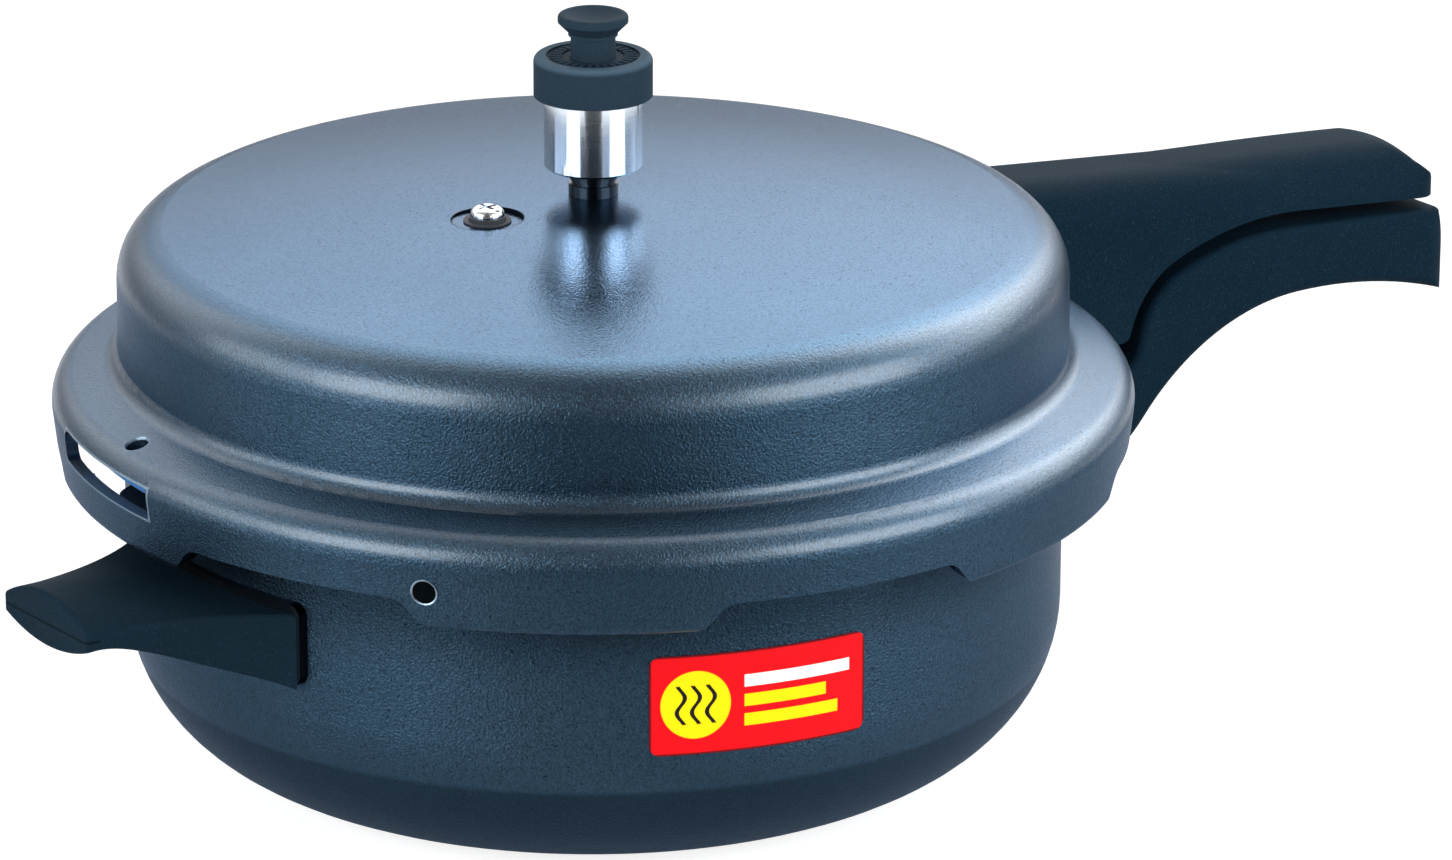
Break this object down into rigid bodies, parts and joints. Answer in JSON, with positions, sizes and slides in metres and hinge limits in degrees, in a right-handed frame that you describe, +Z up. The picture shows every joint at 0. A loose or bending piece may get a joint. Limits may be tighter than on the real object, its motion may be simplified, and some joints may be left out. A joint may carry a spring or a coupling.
{
  "type": "stovetop pressure cooker",
  "caption": "Wide low stovetop pressure pan with a bayonet outer lid, paired long handles, a short helper handle, a lift-off vent weight and a safety plug.",
  "frame": {"origin": "centre of the pan's flat base, on the hob", "axes": "+Z up the axis of the pan, +X along the pair of long handles, away from the helper handle"},
  "size_m": [0.4054, 0.2508, 0.1742],
  "materials": {
    "anodised": "hard-anodised, satin gloss",
    "moulded": "moulded, fine matte grain",
    "plated": "bright plated",
    "steel": "plain",
    "dark_steel": "dark satin",
    "alloy": "plain",
    "brass": "turned",
    "rubber": "matte",
    "gasket": "matte"
  },
  "bodies": {
    "pan": {"pan": "anodised", "pan_handle": "moulded", "pan_handle_bracket": "dark_steel", "pan_bracket_rivets": "alloy", "pan_handle_screw": "steel", "pan_handle_washer": "steel", "helper_handle": "moulded", "helper_bracket": "dark_steel", "helper_rivets": "alloy", "helper_screw": "steel", "helper_washer": "steel"},
    "gasket": {"gasket": "gasket"},
    "lid": {"lid": "anodised", "lid_handle": "moulded", "lid_handle_bracket": "steel", "lid_bracket_rivets": "alloy", "lid_handle_screw": "steel", "lid_handle_washer": "steel", "vent_tube": "plated", "vent_seal": "rubber", "vent_nut": "brass", "safety_plug": "plated", "safety_plug_seal": "rubber", "safety_plug_nut": "brass", "safety_plug_core": "alloy"},
    "weight": {"weight_sleeve": "plated", "weight_core": "steel", "weight_clip": "steel", "weight_cap": "moulded", "weight_knob": "moulded"}
  },
  "joints": [
    {"name": "lid_lift", "type": "slide", "parent": "pan", "child": "gasket", "axis": [0, 0, 1], "range_m": [0, 0.12]},
    {"name": "lid_turn", "type": "hinge", "parent": "gasket", "child": "lid", "pos_m": [0, 0, 0.084], "axis": [0, 0, 1], "range_deg": [-22, 0]},
    {"name": "weight_lift", "type": "slide", "parent": "lid", "child": "weight", "axis": [0, 0, 1], "range_m": [0, 0.03]}
  ]
}
